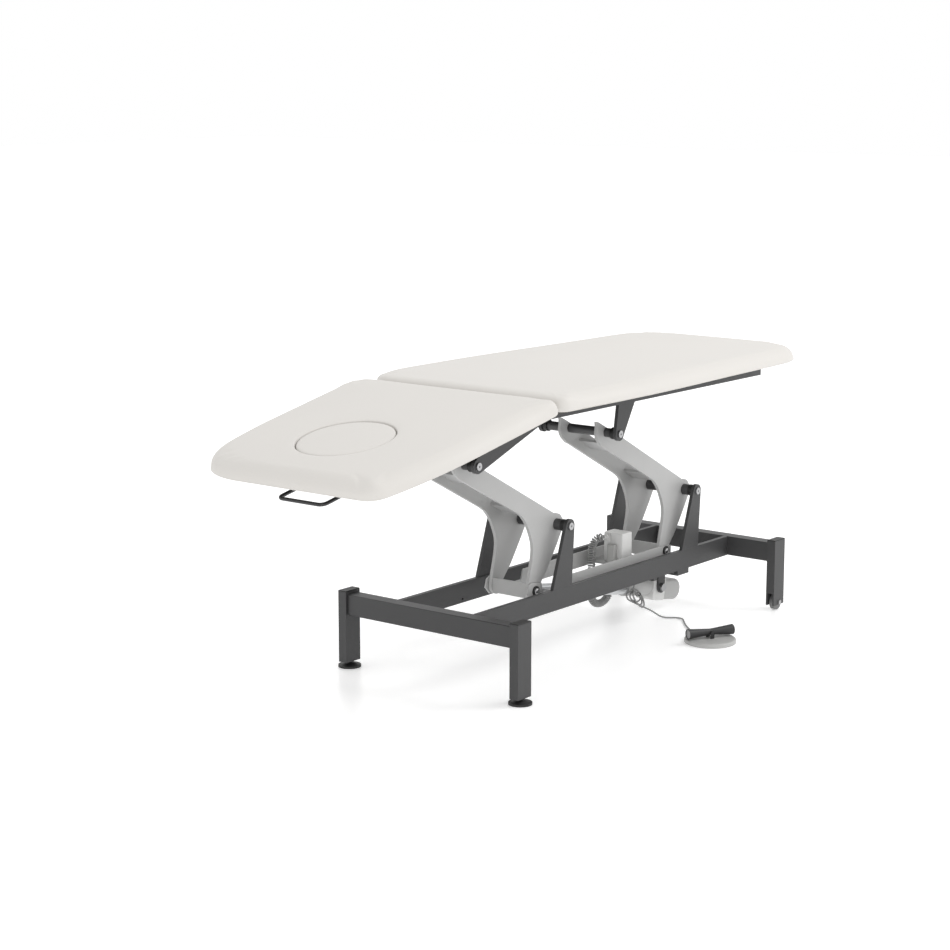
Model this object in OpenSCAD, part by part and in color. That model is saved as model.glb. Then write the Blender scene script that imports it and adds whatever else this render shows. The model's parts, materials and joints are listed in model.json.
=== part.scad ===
// Examination couch with a padded two-section top. Two parallel profiled arms carry the top frame on
// pivot shafts; a link tray joins their lower ends and an electric actuator under the base moves the tray.
// Lengths in millimetres. +X runs from the head end to the foot end, +Z is up, the floor is z = 0.

/* [Base] */
// Length of the base over the legs
base_length = 1350; // [1200:10:1500]
// Width of the base over the legs
base_width = 622; // [560:2:680]
// Leg size along the couch
leg_x = 58; // [40:1:70]
// Leg size across the couch
leg_y = 28; // [24:1:40]
// Height of the leg tops
leg_top = 221; // [215:1:240]
// Height of the beam and rail section
rail_h = 59; // [40:1:70]
// Height of the rail and beam tops
rail_top = 211; // [205:1:230]
// Distance over the outer faces of the side rails
rail_width = 275; // [260:1:300]

/* [Lift] */
// Pivot-to-pivot length of an arm
arm_len = 472.8; // [440:0.1:500]
// Rise of the arms in the stored position, in degrees
arm_rise = 28.85; // [0:0.05:45]
// Distance between the two arms along the couch
arm_pitch = 651.6; // [600:0.2:700]
// Height of the fixed arm pivots
pivot_z = 381.2; // [370:0.1:395]
// Thickness of an arm plate
arm_t = 10; // [6:1:12]

/* [Top] */
// Foam thickness of the pads
foam_t = 46; // [40:1:60]
// Thickness of the boards under the foam
board_t = 15; // [12:1:18]
// Length of the head pad
head_len = 699; // [600:1:720]
// Length of the long pad
long_len = 1340; // [1200:5:1400]
// Widest half-width of the pads
pad_half = 355.6; // [320:0.2:380]
// Drop of the head section in the stored position, in degrees
head_drop = 11.16; // [0:0.02:20]
// Radius of the lift-out face plug opening
plug_r = 129.5; // [90:1:140]

/* [Foot switch] */
// Radius of the foot plate
switch_r = 75; // [60:1:90]
// Thickness of the foot plate
switch_t = 13; // [10:1:18]

/* [Hidden] */
$fn = 96;

// shift that puts the origin under the middle of the couch on the floor
origin_x = 457.91;
origin_y = -35.2;

base_half = base_width/2;
rail_half = rail_width/2;
rail_t = 14;
rail_in = rail_half - rail_t;
beam_w = 44;
beam_inset = (leg_x - beam_w)/2;
rail_z0 = rail_top - rail_h;
leg_z0 = 17;
leg_in = base_half - leg_y;

p0 = [469.1, pivot_z];
p1 = [p0[0] - arm_len*cos(arm_rise), p0[1] + arm_len*sin(arm_rise)];
p2 = [p0[0] - 104.7, p0[1] - 171.4];
fit = 0.05;
base_shaft_r = 10;
base_tube_r = 16;
upper_shaft_r = 8;
upper_tube_r = 13;
tray_shaft_r = 10;
bush_r = 17;
bush_y0 = 112;
bush_y1 = 126;
bracket_y0 = 127;
head_r = 10.5;
head_h = 4;
arm_y0 = -89;
arm_y1 = 48;

hinge_x = 134;
hinge_z = 752;
pad_top = 807;
pad_gap = 8;
foam_z0 = pad_top - foam_t;
board_z0 = foam_z0 - board_t;
top_rail_z0 = 694;
top_rail_w = 20;
top_rail_in = rail_half - top_rail_w;
top_rail_x0 = 146;
top_rail_x1 = 1474;
knuckle_r = 8;
hinge_pin_r = 4;

act_pivot = [1054, 85];
rod_end = [454, 187];
act_y = -20;
act_angle = atan((rod_end[1] - act_pivot[1])/(act_pivot[0] - rod_end[0]));
act_len = norm(rod_end - act_pivot);
rod_pin_r = 8;
rod_r = 15;
tube_r = 25;
act_bolt_r = 7;

gas_pin = [104, 702];
gas_base = [464, 707];
gas_angle = atan((gas_base[1] - gas_pin[1])/(gas_base[0] - gas_pin[0]));
gas_len = norm(gas_base - gas_pin);
gas_pin_r = 4;

switch_c = [868, -351];
pedal_turn = -27.3;
pedal_half = 74;
pedal_z = 31;
pedal_r = 15;
pedal_waist = 9;

light = [0.73, 0.73, 0.72];
dark = [0.30, 0.30, 0.31];
black = [0.05, 0.05, 0.05];
steel = [0.75, 0.75, 0.76];
cream = [0.89, 0.87, 0.85];
ply = [0.72, 0.58, 0.42];
shell = [0.82, 0.82, 0.81];
cable = [0.5, 0.5, 0.5];

// ---- helpers -------------------------------------------------------------------------------------

module place() translate([-origin_x, -origin_y, 0]) children();

// extrudes an x-z outline from y = a to y = b
module across(a, b) translate([0, b, 0]) rotate([90, 0, 0]) linear_extrude(b - a) children();

// a rod along y from y = a to y = b
module rod_y(p, r, a, b) translate([p[0], a, p[1]]) rotate([-90, 0, 0]) cylinder(r=r, h=b - a);

module both_sides() { children(); mirror([0, 1, 0]) children(); }

function unit(v) = v/norm(v);
function before(p, i) = unit(p[(i + len(p) - 1)%len(p)] - p[i]);
function after(p, i) = unit(p[(i + 1)%len(p)] - p[i]);
function half_angle(p, i) = acos(before(p, i)*after(p, i))/2;
// polygon with each corner rounded to its own radius
function cut(p, i, r) = r == 0 ? [p[i]] :
    let (t = r/tan(half_angle(p, i))) [p[i] + before(p, i)*t, p[i] + after(p, i)*t];
function centre(p, i, r) = p[i] + unit(before(p, i) + after(p, i))*r/sin(half_angle(p, i));
module rounded(p, radii) {
    polygon([for (i = [0:len(p) - 1]) each cut(p, i, radii[i])]);
    for (i = [0:len(p) - 1]) if (radii[i] > 0) translate(centre(p, i, radii[i])) circle(r=radii[i]);
}

// polygon with each corner eased over its own length each way
module eased(p, lengths) polygon([for (i = [0:len(p) - 1]) each lengths[i] == 0 ? [p[i]] :
    [for (k = [0:8]) p[i] + lengths[i]*(before(p, i)*pow(1 - k/8, 2) + after(p, i)*pow(k/8, 2))]]);

// a round-section tube swept along a row of points
function ring(p, a, b, r, n) = let (d = unit(b - a), h = abs(d[2]) > 0.95 ? [1, 0, 0] : [0, 0, 1],
    s = unit(cross(d, h)), u = cross(s, d)) [for (k = [0:n - 1]) p + r*(s*cos(360*k/n) + u*sin(360*k/n))];
module sweep(p, r, n) {
    m = len(p);
    rings = [for (i = [0:m - 1]) each ring(p[i], p[max(i - 1, 0)], p[min(i + 1, m - 1)], r, n)];
    sides = [for (i = [0:m - 2]) for (k = [0:n - 1])
        [i*n + k, (i + 1)*n + k, (i + 1)*n + (k + 1)%n, i*n + (k + 1)%n]];
    polyhedron(rings, concat([[for (k = [0:n - 1]) k]], sides, [[for (k = [n - 1:-1:0]) (m - 1)*n + k]]));
}
// smooth curve through points, with steps between each two
function curve(p, steps) = [for (i = [0:len(p) - 2]) let (a = p[max(i - 1, 0)], b = p[i], c = p[i + 1],
    d = p[min(i + 2, len(p) - 1)]) for (k = [0:steps - 1]) let (t = k/steps)
    0.5*(2*b + (c - a)*t + (2*a - 5*b + 4*c - d)*t*t + (3*b - a - 3*c + d)*t*t*t), p[len(p) - 1]];

// ---- base ----------------------------------------------------------------------------------------

module cross_beams() color(dark) place() for (x = [beam_inset, base_length - beam_inset - beam_w])
    translate([x, -leg_in, rail_z0]) cube([beam_w, 2*leg_in, rail_h]);

rail_hole = [314, 163];
module side_rails() color(dark) place() difference() {
    x0 = beam_inset + beam_w;
    both_sides() translate([x0, rail_in, rail_z0]) cube([base_length - 2*x0, rail_t, rail_h]);
    rod_y(rail_hole, 4, rail_in - 1, rail_half + 1);
}

wheel_x = 1325;
wheel_r = 24;
wheel_w = 14;
axle_r = 5;
insert_r = 10;
stud_r = 5;
module legs() color(dark) place() difference() {
    both_sides() for (x = [0, base_length - leg_x])
        translate([x, leg_in, leg_z0]) cube([leg_x, leg_y, leg_top - leg_z0 - 3]);
    both_sides() {
        translate([base_length - leg_x - 1, leg_in + 5, leg_z0 - 1]) cube([leg_x + 2, leg_y - 10, 38]);
        rod_y([wheel_x, wheel_r], axle_r, leg_in - 1, base_half + 1);
        translate([leg_x/2, leg_in + leg_y/2, leg_z0 - 1]) cylinder(r=insert_r, h=49);
    }
}

module leg_caps() color(black) place() both_sides() for (x = [0, base_length - leg_x])
    translate([x, leg_in, leg_top - 3]) cube([leg_x, leg_y, 3]);

module foot_inserts() color(black) place() both_sides()
    translate([leg_x/2, leg_in + leg_y/2, leg_z0]) difference() {
        cylinder(r=insert_r, h=20);
        translate([0, 0, -1]) cylinder(r=stud_r + fit, h=22);
    }

module level_foot() translate([leg_x/2, leg_in + leg_y/2, 0]) {
    cylinder(r=32, h=6);
    translate([0, 0, 6]) cylinder(r1=26, r2=12, h=5);
    translate([0, 0, 11]) cylinder(r=stud_r, h=50);
}
module head_foot_left() color(black) place() mirror([0, 1, 0]) level_foot();
module head_foot_right() color(black) place() level_foot();

module wheel_axles() color(steel) place() both_sides() {
    rod_y([wheel_x, wheel_r], axle_r, leg_in - 1, base_half);
    rod_y([wheel_x, wheel_r], axle_r + 2, base_half, base_half + 3);
}
module wheel() difference() {
    rod_y([wheel_x, wheel_r], wheel_r, leg_in + leg_y/2 - wheel_w/2, leg_in + leg_y/2 + wheel_w/2);
    rod_y([wheel_x, wheel_r], axle_r + fit, leg_in, base_half);
}
module wheel_left() color(dark) place() mirror([0, 1, 0]) wheel();
module wheel_right() color(dark) place() wheel();

bracket_r = 20;
base_bracket = [[390, rail_top], [478, rail_top], [489, 381], [449.5, 385]];
module base_brackets() color(dark) place() both_sides() for (x = [0, arm_pitch]) translate([x, 0, 0])
    difference() {
        across(bracket_y0, rail_half) { polygon(base_bracket); translate(p0) circle(r=bracket_r); }
        rod_y(p0, base_shaft_r, bracket_y0 - 1, rail_half + 1);
    }
// a shaft between the brackets at each arm, with a socket bolt head on each end
module headed_shafts(p, r, y) for (x = [0, arm_pitch]) difference() {
    union() {
        rod_y(p + [x, 0], r, -y, y);
        both_sides() rod_y(p + [x, 0], head_r, y, y + head_h);
    }
    both_sides() rod_y(p + [x, 0], 3, y + head_h - 2, y + head_h + 1);
}
module base_shafts() color(steel) place() headed_shafts(p0, base_shaft_r, rail_half);

mount_x0 = act_pivot[0] - 34;
mount_x1 = act_pivot[0] + 26;
lug_y = [act_y - 39, act_y + 34];
mount_z = 137;
module actuator_mount() color(dark) place() {
    difference() {
        union() {
            translate([mount_x0, -rail_half, mount_z]) cube([mount_x1 - mount_x0, rail_width, 6]);
            for (y = lug_y) across(y, y + 5) {
                circle_at(act_pivot, 18);
                translate([act_pivot[0] - 18, act_pivot[1]]) square([36, mount_z + 1 - act_pivot[1]]);
            }
        }
        rod_y(act_pivot, act_bolt_r, lug_y[0] - 1, lug_y[1] + 6);
    }
    both_sides() translate([mount_x0, rail_in, mount_z + 5])
        cube([mount_x1 - mount_x0, rail_t, rail_z0 - mount_z - 5]);
}
module circle_at(p, r) translate(p) circle(r=r);
module actuator_bolt() color(steel) place() {
    rod_y(act_pivot, act_bolt_r, lug_y[0] - 1, lug_y[1] + 6);
    rod_y(act_pivot, 12, lug_y[0] - 9, lug_y[0]);
    rod_y(act_pivot, 12, lug_y[1] + 5, lug_y[1] + 12);
}

clip_x = 900;
clip_y = -62;
module cord_clip() color(dark) place() {
    translate([clip_x - 9, -rail_half, 145]) cube([18, rail_half + clip_y + 8, 3]);
    translate([clip_x - 9, -rail_half, 148]) cube([18, rail_t, rail_z0 - 148]);
}
relief_r = 5;
module strain_relief() color(black) place() translate([clip_x, clip_y, 125]) cylinder(r=relief_r, h=20);

// ---- foot switch ---------------------------------------------------------------------------------

module switch_frame() place() translate([switch_c[0], switch_c[1], 0]) rotate([0, 0, pedal_turn]) children();
module switch_base() color(light) switch_frame() {
    cylinder(r=switch_r, h=switch_t - 3);
    translate([0, 0, switch_t - 3]) cylinder(r1=switch_r, r2=switch_r - 3, h=3);
}
pedal_pin_r = 3;
module switch_block() color(black) switch_frame() {
    difference() {
        for (y = [-14, 11]) across(y, y + 3) {
            circle_at([0, pedal_z], 6);
            translate([-6, switch_t]) square([12, pedal_z - switch_t]);
        }
        rod_y([0, pedal_z], pedal_pin_r + fit, -15, 15);
    }
}
cap_in = 5;
module pedal() color(dark) switch_frame() {
    for (s = [-1, 1]) rotate([0, s*90, 0]) translate([-s*pedal_z, 0, 0]) difference() {
        cylinder(r1=pedal_waist, r2=pedal_r, h=pedal_half);
        translate([0, 0, pedal_half - cap_in]) cylinder(r=pedal_r - 2, h=cap_in + 1);
    }
    rod_y([0, pedal_z], pedal_pin_r, -14, 14);
}
module pedal_caps() color(light) switch_frame() for (s = [-1, 1])
    rotate([0, s*90, 0]) translate([-s*pedal_z, 0, pedal_half - cap_in]) cylinder(r=pedal_r - 2, h=3);

cord_r = 2.5;
switch_cord_points = [[900, -62, 125], [901, -62, 112], [935, -60, 60], [975, -72, 30], [1005, -95, 7],
    [1035, -124, 3], [1036, -146, 3], [1014, -166, 3], [985, -190, 3], [950, -225, 3], [912, -268, 5],
    [896, -283, 7]];
module switch_cord() color(cable) place() sweep(curve(switch_cord_points, 4), cord_r, 8);
hank_c = [917, 78];
hank_y = -59;
module cord_hank() color(cable) place() translate([hank_c[0], hank_y, hank_c[1]]) rotate([0, 40, 0])
    across(-5, 5) difference() {
        hank_outline(15);
        hank_outline(9);
    }
module hank_outline(r) {
    for (x = [-24, 24]) translate([x, 0]) circle(r=r);
    square([48, 2*r], center=true);
}
module cord_tie() color(black) place() translate([hank_c[0], hank_y, hank_c[1]]) rotate([0, 40, 0])
    across(-7, 7) difference() {
        translate([-5, 7]) square([10, 10]);
        translate([-6, 9]) square([12, 6]);
    }

// ---- arms ----------------------------------------------------------------------------------------

arm_outline = [[30, 11], [-327, 200], [-449, 261], [-459, 264], [-457, 247], [-460, 230], [-456, 215],
    [-446, 202], [-428, 187], [-412, 180], [-181, 60], [-160, 47], [-143, 29], [-129, 8], [-117, -17],
    [-110, -37], [-108, -57], [-111, -81], [-117, -105], [-124, -131], [-131, -160], [-104.7, -172],
    [-78, -162], [-66, -148], [-48, -129], [-33, -109], [-16, -85], [6, -53], [25, -23]];
arm_tail_r = 28;
// two plates, the webs between them and the two bearing tubes, welded
module arm_frame() difference() {
    union() {
        for (y = [arm_y0, arm_y1 - arm_t]) across(y, y + arm_t) {
            translate(p0) polygon(arm_outline);
            circle_at(p0, 30);
            circle_at(p2, arm_tail_r);
        }
        across(arm_y0 + arm_t, arm_y1 - arm_t) {
            translate([133, 553]) rotate(-28) square([70, 8], center=true);
            translate([362, 431]) rotate(-28) square([64, 8], center=true);
            translate([342, 190]) square([6, 42]);
        }
        rod_y(p0, base_tube_r, -bush_y0, bush_y0);
        rod_y(p1, upper_tube_r, -bush_y0, bush_y0);
    }
    rod_y(p0, base_shaft_r + fit, -bush_y0 - 1, bush_y0 + 1);
    rod_y(p1, upper_shaft_r + fit, -bush_y0 - 1, bush_y0 + 1);
    rod_y(p2, tray_shaft_r + fit, arm_y0 - 1, arm_y1 + 1);
}
module arm_bushes() both_sides() for (q = [[p0, base_shaft_r], [p1, upper_shaft_r]]) difference() {
    rod_y(q[0], bush_r, bush_y0, bush_y1);
    rod_y(q[0], q[1] + fit, bush_y0 - 1, bush_y1 + 1);
}
module head_arm_frame() color(light) place() arm_frame();
module head_arm_bushes() color(black) place() arm_bushes();
module foot_arm_frame() color(light) place() translate([arm_pitch, 0, 0]) arm_frame();
module foot_arm_bushes() color(black) place() translate([arm_pitch, 0, 0]) arm_bushes();

// ---- link tray -----------------------------------------------------------------------------------

tray_y0 = -95;
tray_y1 = 54;
tray_t = 4;
tray_side = [[325, 205], [345, 184], [364, 182], [400, 178], [1000, 182], [1030, 184], [1046, 196],
    [1046, 222], [980, 226], [500, 226], [492, 197], [402, 197], [393, 228], [345, 235], [332, 228]];
shelf_x0 = 822;
shelf_x1 = 960;
shelf_z = 190;
shelf_t = 6;
module tray_frame() color(light) place() {
    difference() {
        for (y = [tray_y0, tray_y1 - tray_t]) across(y, y + tray_t) polygon(tray_side);
        for (x = [0, arm_pitch]) rod_y(p2 + [x, 0], tray_shaft_r, tray_y0 - 1, tray_y1 + 1);
        rod_y(rod_end, rod_pin_r, tray_y0 - 1, tray_y1 + 1);
    }
    translate([shelf_x0, tray_y0 + tray_t, shelf_z])
        cube([shelf_x1 - shelf_x0, tray_y1 - tray_y0 - 2*tray_t, shelf_t]);
}
tray_head_r = 12;
// the two arm pivots with their domed heads, and the pin of the actuator rod
module tray_shafts() color(steel) place() {
    for (x = [0, arm_pitch]) {
        rod_y(p2 + [x, 0], tray_shaft_r, tray_y0, tray_y1);
        rod_y(p2 + [x, 0], tray_head_r, tray_y0 - head_h, tray_y0);
        rod_y(p2 + [x, 0], tray_head_r, tray_y1, tray_y1 + head_h);
    }
    rod_y(rod_end, rod_pin_r, tray_y0, tray_y1);
}

box_x0 = 838;
box_x1 = 890;
box_y0 = -60;
box_y1 = 6;
box_top = 285;
box_split = -17;
module control_box() color(shell) place() translate([box_x0, box_y0, shelf_z + shelf_t])
    cube([box_x1 - box_x0, box_split - box_y0, box_top - shelf_z - shelf_t]);
module control_cover() color(shell) place() translate([box_x0, box_split, shelf_z + shelf_t])
    cube([box_x1 - box_x0, box_y1 - box_split, box_top - shelf_z - shelf_t]);
module connector_box() color(shell) place() translate([shelf_x0, -42, shelf_z + shelf_t])
    cube([box_x0 - shelf_x0, 26, 56]);
plug_at = [box_x0, -5, 270];
plug_len = 14;
module curly_cord_plug() color(shell) place() translate(plug_at) rotate([0, -90, 0])
    cylinder(r=9, h=plug_len);
curl_r = 12;
curl_y = 24;
curl_end = [899, curl_y, 176];
curl_points = [[824, -5, 270], [813, -2, 276], [803, 8, 274], [799, 18, 258], [800, curl_y, 236],
    [802, curl_y, 200], [801, curl_y, 160], [798, curl_y, 120], [800, curl_y, 92], [818, curl_y, 70],
    [845, curl_y, 62], [870, curl_y, 66], [890, curl_y, 80], [899, curl_y, 104], [900, curl_y, 140],
    curl_end];
module curly_cord() color(cable) place() sweep(curve(curl_points, 2), curl_r, 12);
module curly_cord_gland() color(black) place() translate(curl_end)
    cylinder(r=curl_r + 2, h=shelf_z - curl_end[2]);

// ---- top frame -----------------------------------------------------------------------------------

module top_rails() color(dark) place() {
    both_sides() translate([top_rail_x0, top_rail_in, top_rail_z0])
        cube([top_rail_x1 - top_rail_x0, top_rail_w, board_z0 - top_rail_z0]);
    for (x = [474, 1080, 1440]) translate([x, -top_rail_in, 704]) cube([24, 2*top_rail_in, 36]);
}
head_bracket = [[62, 590.6], [355, top_rail_z0], [146, top_rail_z0], [42, 624.5]];
foot_bracket = [[35, 612], [48, top_rail_z0], [128, top_rail_z0], [70, 596]];
module upper_brackets() color(dark) place() both_sides() difference() {
    across(bracket_y0, rail_half) {
        polygon(head_bracket);
        circle_at(p1, bracket_r);
        translate([arm_pitch, 0]) { polygon(foot_bracket); circle_at(p1, bracket_r); }
    }
    for (x = [0, arm_pitch]) rod_y(p1 + [x, 0], upper_shaft_r, bracket_y0 - 1, rail_half + 1);
}
module upper_shafts() color(steel) place() headed_shafts(p1, upper_shaft_r, rail_half);

hinge = [hinge_x, hinge_z];
lug_w = 8;
lug_outline = [[0, -knuckle_r], [16, -37], [66, -47], [66, -7], [12, -7], [5, 6], [0, knuckle_r]];
module hinge_lugs() color(dark) place() both_sides() difference() {
    across(top_rail_in - lug_w, top_rail_in) translate(hinge) { polygon(lug_outline); circle(r=knuckle_r); }
    rod_y(hinge, hinge_pin_r, top_rail_in - lug_w - 1, top_rail_in + 1);
}
plate_y = top_rail_in + 1.5;
// hinge pins and the pivot of the gas spring
module frame_pins() color(steel) place() {
    both_sides() rod_y(hinge, hinge_pin_r, top_rail_in - lug_w - 3, plate_y + lug_w + 3);
    rod_y(gas_base, gas_pin_r, -14, 14);
}
module gas_anchor() color(dark) place() difference() {
    for (y = [-12, 8]) across(y, y + 4) {
        circle_at(gas_base, 8);
        translate([gas_base[0], gas_base[1] - 3]) square([10, 16]);
    }
    rod_y(gas_base, gas_pin_r, -13, 13);
}

// plan outline of a pad: half-widths at the hinge edge, one third, two thirds and the end
function half_plan(len, w, inset) = [[pad_gap + min(inset, 8), w[0] - inset], [len/3, w[1] - inset],
    [2*len/3, w[2] - inset], [len - inset, w[3] - inset]];
function plan(len, w, inset) = concat(half_plan(len, w, inset),
    [for (i = [3:-1:0]) let (p = half_plan(len, w, inset)[i]) [p[0], -p[1]]]);
fold_ease = 56;
side_ease = 80;
module pad_plan(len, w, inset, corner) eased(plan(len, w, inset),
    [fold_ease, side_ease, side_ease, corner, corner, side_ease, side_ease, fold_ease]);
long_w = [pad_half - 2, pad_half, pad_half - 38.6, pad_half - 53.6];
head_w = [pad_half - 2, pad_half - 5, pad_half - 14, pad_half - 56];
long_corner = 164;
head_corner = 110;
fold_drop = 44;
edge_drop = 26;
module pad_side(len) eased([[pad_gap, foam_z0], [pad_gap, pad_top], [len, pad_top], [len, foam_z0]],
    [0, fold_drop, edge_drop, 0]);
module pad_solid(len) intersection() {
    translate([0, 0, foam_z0 - 1]) linear_extrude(foam_t + 2) children();
    across(-pad_half - 1, pad_half + 1) pad_side(len);
}
module long_side() translate([hinge_x, 0, 0]) children();
module long_pad() color(cream) place() long_side() pad_solid(long_len)
    pad_plan(long_len, long_w, 0, long_corner);
board_inset = 60;
board_corner = 90;
module long_board() color(ply) place() long_side() translate([0, 0, board_z0])
    linear_extrude(board_t) pad_plan(long_len, long_w, board_inset, board_corner);

// ---- head section, built level and then dropped about the hinge -----------------------------------

module dropped() place() translate([hinge_x, 0, hinge_z]) rotate([0, -head_drop, 0])
    translate([0, 0, -hinge_z]) children();
module head_side() dropped() mirror([1, 0, 0]) children();
plug_x = 443;
plug_gap = 2.5;
ledge_r = plug_r - 10;
module head_pad() color(cream) head_side() pad_solid(head_len) difference() {
    pad_plan(head_len, head_w, 0, head_corner);
    translate([plug_x, 0]) circle(r=plug_r);
}
module head_board() color(ply) head_side() difference() {
    translate([0, 0, board_z0]) linear_extrude(board_t)
        pad_plan(head_len, head_w, board_inset, board_corner);
    translate([plug_x, 0, board_z0 - 1]) cylinder(r=ledge_r, h=board_t + 2);
}
module plug_pad() color(cream) head_side() translate([plug_x, 0, foam_z0])
    cylinder(r=plug_r - plug_gap, h=foam_t);
module plug_board() color(ply) head_side() translate([plug_x, 0, board_z0])
    cylinder(r=ledge_r - plug_gap, h=board_t);
head_plate_outline = [[0, 8], [13, -6], [74, -6], [74, -24], [16, -20], [0, -knuckle_r]];
module head_bars() color(dark) head_side() both_sides() {
    translate([70, plate_y + lug_w, board_z0 - 22]) cube([480, 24, 22]);
    translate([0, 0, hinge_z]) difference() {
        across(plate_y, plate_y + lug_w) { polygon(head_plate_outline); circle(r=knuckle_r); }
        rod_y([0, 0], hinge_pin_r + fit, plate_y - 1, plate_y + lug_w + 1);
    }
}
// crank for the gas spring, drawn in the stored position
module head_crank() color(dark) place() {
    across(-3, 3) {
        circle_at(gas_pin, 8);
        polygon([[96, 702], [112, 702], [116, 742.2], [60, 731.2]]);
    }
    rod_y(gas_pin, gas_pin_r, -12, 12);
}
handle_x = 394;
handle_reach = 638;
handle_z = hinge_z - 45.5;
handle_r = 5;
handle_half = 75.5;
pivot_pin_r = 4;
module handle_lugs() color(dark) head_side() difference() {
    both_sides() across(handle_half - 17, handle_half - 9) {
        circle_at([handle_x, handle_z], 9);
        translate([handle_x - 9, handle_z]) square([18, board_z0 - handle_z]);
    }
    rod_y([handle_x, handle_z], pivot_pin_r, -handle_half, handle_half);
}
module handle_pivot() color(steel) head_side()
    rod_y([handle_x, handle_z], pivot_pin_r, -handle_half - 8, handle_half + 8);
module release_handle() color(black) head_side() difference() {
    union() {
        both_sides() {
            rod_y([handle_x, handle_z], 9, handle_half - 6, handle_half + 6);
            translate([handle_x + 6, handle_half, handle_z]) rotate([0, 90, 0])
                cylinder(r=handle_r, h=handle_reach - handle_x - 6);
            translate([handle_reach, handle_half, handle_z]) sphere(r=handle_r);
        }
        rod_y([handle_reach, handle_z], handle_r, -handle_half, handle_half);
    }
    rod_y([handle_x, handle_z], pivot_pin_r + fit, -handle_half - 9, handle_half + 9);
}

// ---- gas spring ----------------------------------------------------------------------------------

module gas_frame() place() translate([gas_base[0], 0, gas_base[1]]) rotate([0, -gas_angle, 0]) children();
gas_body_r = 10;
gas_rod_r = 4;
gas_eye = 8;
module gas_cylinder() color(black) gas_frame() difference() {
    union() {
        translate([-30, 0, 0]) rotate([0, -90, 0]) cylinder(r=gas_body_r, h=180);
        translate([-5, 0, 0]) rotate([0, -90, 0]) cylinder(r=5, h=27);
        rod_y([0, 0], 8, -6, 6);
    }
    translate([-100, 0, 0]) rotate([0, -90, 0]) cylinder(r=gas_rod_r + fit, h=120);
    rod_y([0, 0], gas_pin_r + fit, -14, 14);
}
module gas_rod() color(steel) gas_frame() {
    translate([-130, 0, 0]) rotate([0, -90, 0]) cylinder(r=gas_rod_r, h=gas_len - 130 - 30);
    difference() {
        both_sides() rod_y([-gas_len, 0], gas_eye + 6, 5, 9);
        rod_y([-gas_len, 0], gas_eye, -20, 20);
    }
    translate([-gas_len + gas_eye + 2, -9, -5]) difference() {
        cube([22, 18, 10]);
        translate([-1, 4, -1]) cube([17, 10, 12]);
    }
}

// ---- actuator ------------------------------------------------------------------------------------

module act_frame() place() translate([act_pivot[0], act_y, act_pivot[1]]) rotate([0, act_angle, 0])
    children();
module along(a, b, r) translate([a, 0, 0]) rotate([0, 90, 0]) cylinder(r=r, h=b - a);
gear_x = 32;
motor_x = 126;
cover_x = 157;
tube_x = 470;
module actuator_gearbox() color(light*0.9) act_frame() difference() {
    across(-32, 32) rounded([[-gear_x, -42], [gear_x, -42], [gear_x, 27], [-gear_x, 27]], [10, 10, 10, 10]);
    rod_y([0, 0], act_bolt_r + fit, -40, 40);
}
module actuator_motor() color(shell) act_frame()
    across(-28, 28) rounded([[gear_x, -42], [motor_x, -42], [motor_x, 22], [gear_x, 22]], [0, 31, 31, 0]);
module actuator_cover() color(shell) act_frame() along(-cover_x, -gear_x, 30);
module actuator_tube() color(steel) act_frame() difference() {
    along(-tube_x, -cover_x, tube_r);
    along(-tube_x - 1, -cover_x - 20, rod_r + fit);
}
slot_c = [3, 8];
slot_x = 3.8;
slot_z = 9.2;
eye_wall = 8;
module slot_outline(e) translate(slot_c) {
    r = rod_pin_r + 0.5 + e;
    for (x = [-slot_x, slot_x], z = [-slot_z, slot_z]) translate([x, z]) circle(r=r);
    square([2*(slot_x + r), 2*slot_z], center=true);
    square([2*slot_x, 2*(slot_z + r)], center=true);
}
module actuator_rod() color(steel) act_frame() {
    difference() {
        union() {
            along(-act_len + slot_c[0] + slot_x + rod_pin_r + 2, -cover_x - 125, rod_r);
            translate([-act_len, 0, 0]) across(-6, 6) slot_outline(eye_wall);
        }
        translate([-act_len, 0, 0]) across(-16, 16) slot_outline(0);
    }
}

cross_beams();
side_rails();
legs();
leg_caps();
foot_inserts();
base_brackets();
base_shafts();
actuator_mount();
actuator_bolt();
wheel_axles();
cord_clip();
switch_base();
switch_block();
switch_cord();
cord_hank();
cord_tie();
strain_relief();
head_foot_left();
head_foot_right();
wheel_left();
wheel_right();
pedal();
pedal_caps();
head_arm_frame();
head_arm_bushes();
foot_arm_frame();
foot_arm_bushes();
tray_frame();
tray_shafts();
control_box();
control_cover();
connector_box();
curly_cord_plug();
curly_cord();
curly_cord_gland();
top_rails();
upper_brackets();
upper_shafts();
hinge_lugs();
frame_pins();
gas_anchor();
long_board();
long_pad();
head_board();
head_pad();
head_bars();
head_crank();
handle_lugs();
handle_pivot();
release_handle();
plug_pad();
plug_board();
gas_cylinder();
gas_rod();
actuator_gearbox();
actuator_motor();
actuator_cover();
actuator_tube();
actuator_rod();
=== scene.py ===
import bmesh
import bpy
import json
import math
import numpy as np
from mathutils import Matrix, Vector
from mathutils.kdtree import KDTree


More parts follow.
